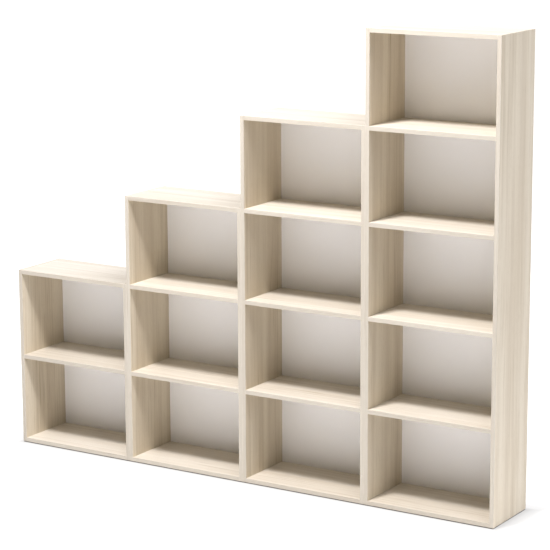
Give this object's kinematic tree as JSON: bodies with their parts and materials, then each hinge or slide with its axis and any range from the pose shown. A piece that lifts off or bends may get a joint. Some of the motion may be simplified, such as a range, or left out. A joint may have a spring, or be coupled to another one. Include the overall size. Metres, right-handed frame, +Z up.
{
  "type": "staircase bookshelf",
  "caption": "Open bookshelf that climbs like stairs: box modules of rising height side by side, in light ash laminate with white backs.",
  "frame": {"origin": "on the floor, under the middle of the row's width and depth", "axes": "+X along the row towards the tallest module, +Y to the back, +Z up; the cells open towards -Y"},
  "size_m": [2.128, 0.265, 1.759],
  "materials": {
    "laminate_upright": "satin ash-grain laminate, grain upright",
    "laminate_level": "satin ash-grain laminate, grain along the board",
    "back_board": "white lacquered hardboard",
    "edge_band": "cream edge band",
    "tongue": "raw plywood",
    "screw": "zinc-plated",
    "glide": "moulded plastic"
  },
  "bodies": {
    "root": {"module_1_left_side": "laminate_upright", "module_1_right_side": "laminate_upright", "module_1_bottom": "laminate_level", "module_1_shelf_1": "laminate_level", "module_1_top": "laminate_level", "module_1_back": "back_board", "module_1_edge_bands": "edge_band", "module_1_tongues": "tongue", "module_1_glides": "glide", "joining_screws_1_2": "screw", "module_2_left_side": "laminate_upright", "module_2_right_side": "laminate_upright", "module_2_bottom": "laminate_level", "module_2_shelf_1": "laminate_level", "module_2_shelf_2": "laminate_level", "module_2_top": "laminate_level", "module_2_back": "back_board", "module_2_edge_bands": "edge_band", "module_2_tongues": "tongue", "module_2_glides": "glide", "joining_screws_2_3": "screw", "module_3_left_side": "laminate_upright", "module_3_right_side": "laminate_upright", "module_3_bottom": "laminate_level", "module_3_shelf_1": "laminate_level", "module_3_shelf_2": "laminate_level", "module_3_shelf_3": "laminate_level", "module_3_top": "laminate_level", "module_3_back": "back_board", "module_3_edge_bands": "edge_band", "module_3_tongues": "tongue", "module_3_glides": "glide", "joining_screws_3_4": "screw", "module_4_left_side": "laminate_upright", "module_4_right_side": "laminate_upright", "module_4_bottom": "laminate_level", "module_4_shelf_1": "laminate_level", "module_4_shelf_2": "laminate_level", "module_4_shelf_3": "laminate_level", "module_4_shelf_4": "laminate_level", "module_4_top": "laminate_level", "module_4_back": "back_board", "module_4_edge_bands": "edge_band", "module_4_tongues": "tongue", "module_4_glides": "glide"}
  },
  "joints": []
}
